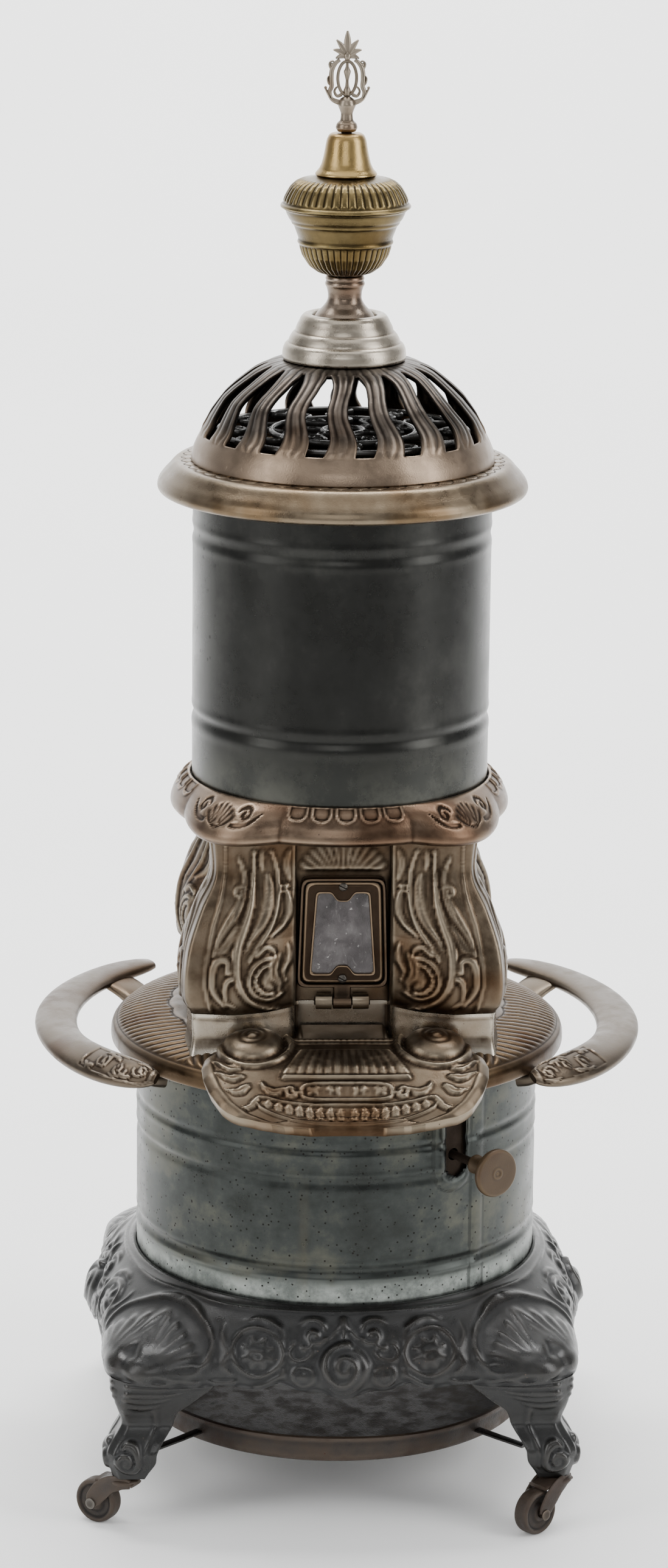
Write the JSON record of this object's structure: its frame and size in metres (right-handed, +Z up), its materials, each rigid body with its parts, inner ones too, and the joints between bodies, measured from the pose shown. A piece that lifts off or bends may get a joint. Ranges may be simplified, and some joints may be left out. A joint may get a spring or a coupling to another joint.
{
  "type": "kerosene heater",
  "caption": "Round kerosene heater on four cabriole legs with casters, tilting pierced dome with urn and spire, mica door and wick knob.",
  "frame": {"origin": "on the floor, on the axis of the drum and the wick", "axes": "+Z up along the drum axis, front with the mica door towards -Y, +X to the right seen from the front"},
  "size_m": [0.429, 0.3791, 1.026],
  "materials": {
    "nickel_worn": "worn, browned nickel plate on iron castings",
    "nickel_bright": "bright nickel plate",
    "nickel_dark": "dark, smoked nickel plate",
    "brass_aged": "aged brass",
    "blued_steel": "black-blued sheet steel",
    "galvanised_steel": "mottled blue-grey sheet steel",
    "black_iron": "black enamelled cast iron",
    "rusty_iron": "rusted iron",
    "mica": "cloudy sheet mica",
    "tank_brass": "plain sheet brass",
    "copper_knob": "dull coppered brass",
    "steel_plain": "plain steel",
    "wick_cotton": "woven cotton"
  },
  "bodies": {
    "stove": {"top_ring": "nickel_worn", "dome_hinge_pin": "steel_plain", "cooking_trivet": "black_iron", "upper_drum": "blued_steel", "waist_ring": "nickel_worn", "burner_casing": "nickel_worn", "casing_plinth": "nickel_bright", "deck_plate": "nickel_worn", "front_apron": "nickel_worn", "side_rail_left": "nickel_worn", "side_rail_right": "nickel_worn", "door_hinge_pin": "steel_plain", "tank_casing": "galvanised_steel", "slot_cover": "galvanised_steel", "oil_tank": "tank_brass", "draft_tube": "tank_brass", "wick_tube": "tank_brass", "burner_gallery": "steel_plain", "flame_spreader": "steel_plain", "inner_flue": "steel_plain", "shaft_bearing": "steel_plain", "base_skirt": "black_iron", "leg_front_left": "black_iron", "leg_front_right": "black_iron", "leg_rear_left": "black_iron", "leg_rear_right": "black_iron", "drip_pan": "rusty_iron"},
    "dome_top": {"dome_grille": "nickel_dark", "urn_collar": "nickel_bright", "urn_stem": "nickel_bright", "urn_bowl": "brass_aged", "urn_lid": "brass_aged", "urn_bell": "brass_aged", "finial_spire": "nickel_worn", "tie_rod": "steel_plain", "tie_rod_nut": "steel_plain"},
    "mica_door": {"door_frame": "nickel_dark", "mica_pane": "mica", "pane_retainer": "nickel_dark", "retainer_screw_lower": "steel_plain", "retainer_screw_upper": "steel_plain"},
    "wick_shaft_set": {"wick_shaft": "steel_plain", "wick_pinion": "tank_brass", "wick_knob": "copper_knob"},
    "wick_carrier": {"wick": "wick_cotton", "wick_rack": "tank_brass"},
    "tank_cap": {"filler_cap": "tank_brass"},
    "swivel_front_left": {"caster_fork_front_left": "rusty_iron", "caster_axle_front_left": "steel_plain"},
    "swivel_front_right": {"caster_fork_front_right": "rusty_iron", "caster_axle_front_right": "steel_plain"},
    "swivel_rear_left": {"caster_fork_rear_left": "rusty_iron", "caster_axle_rear_left": "steel_plain"},
    "swivel_rear_right": {"caster_fork_rear_right": "rusty_iron", "caster_axle_rear_right": "steel_plain"},
    "wheel_front_left": {"caster_wheel_front_left": "rusty_iron"},
    "wheel_front_right": {"caster_wheel_front_right": "rusty_iron"},
    "wheel_rear_left": {"caster_wheel_rear_left": "rusty_iron"},
    "wheel_rear_right": {"caster_wheel_rear_right": "rusty_iron"}
  },
  "joints": [
    {"name": "dome_tilt", "type": "hinge", "parent": "stove", "child": "dome_top", "pos_m": [0, 0.112, 0.737], "axis": [-1, 0, 0], "range_deg": [0, 100]},
    {"name": "mica_door_hinge", "type": "hinge", "parent": "stove", "child": "mica_door", "pos_m": [0, -0.079, 0.361], "axis": [1, 0, 0], "range_deg": [0, 92]},
    {"name": "wick_knob_turn", "type": "hinge", "parent": "stove", "child": "wick_shaft_set", "pos_m": [0, 0, 0.262], "axis": [0.5519, -0.8339, 0], "range_deg": [-205, 75]},
    {"name": "wick_lift", "type": "slide", "parent": "stove", "child": "wick_carrier", "axis": [0, 0, 1], "range_m": [-0.0216, 0.008]},
    {"name": "filler_cap_turn", "type": "hinge", "parent": "stove", "child": "tank_cap", "pos_m": [0, 0.078, 0.23], "axis": [0, 0, 1], "continuous": true},
    {"name": "swivel_turn_front_left", "type": "hinge", "parent": "stove", "child": "swivel_front_left", "pos_m": [-0.1515, -0.1515, 0.04], "axis": [0, 0, 1], "continuous": true},
    {"name": "swivel_turn_front_right", "type": "hinge", "parent": "stove", "child": "swivel_front_right", "pos_m": [0.1515, -0.1515, 0.04], "axis": [0, 0, 1], "continuous": true},
    {"name": "swivel_turn_rear_left", "type": "hinge", "parent": "stove", "child": "swivel_rear_left", "pos_m": [-0.1515, 0.1515, 0.04], "axis": [0, 0, 1], "continuous": true},
    {"name": "swivel_turn_rear_right", "type": "hinge", "parent": "stove", "child": "swivel_rear_right", "pos_m": [0.1515, 0.1515, 0.04], "axis": [0, 0, 1], "continuous": true},
    {"name": "wheel_spin_front_left", "type": "hinge", "parent": "swivel_front_left", "child": "wheel_front_left", "pos_m": [-0.16995, -0.13952, 0.016], "axis": [-0.5446, -0.8387, 0], "continuous": true},
    {"name": "wheel_spin_front_right", "type": "hinge", "parent": "swivel_front_right", "child": "wheel_front_right", "pos_m": [0.13515, -0.16622, 0.016], "axis": [0.6691, -0.7431, 0], "continuous": true},
    {"name": "wheel_spin_rear_left", "type": "hinge", "parent": "swivel_rear_left", "child": "wheel_rear_left", "pos_m": [-0.1515, 0.1735, 0.016], "axis": [-1, 0, 0], "continuous": true},
    {"name": "wheel_spin_rear_right", "type": "hinge", "parent": "swivel_rear_right", "child": "wheel_rear_right", "pos_m": [0.1515, 0.1735, 0.016], "axis": [-1, 0, 0], "continuous": true}
  ],
  "couplings": [
    {"joint": "wick_lift", "follows": "wick_knob_turn", "m_per_rad": 0.006}
  ]
}
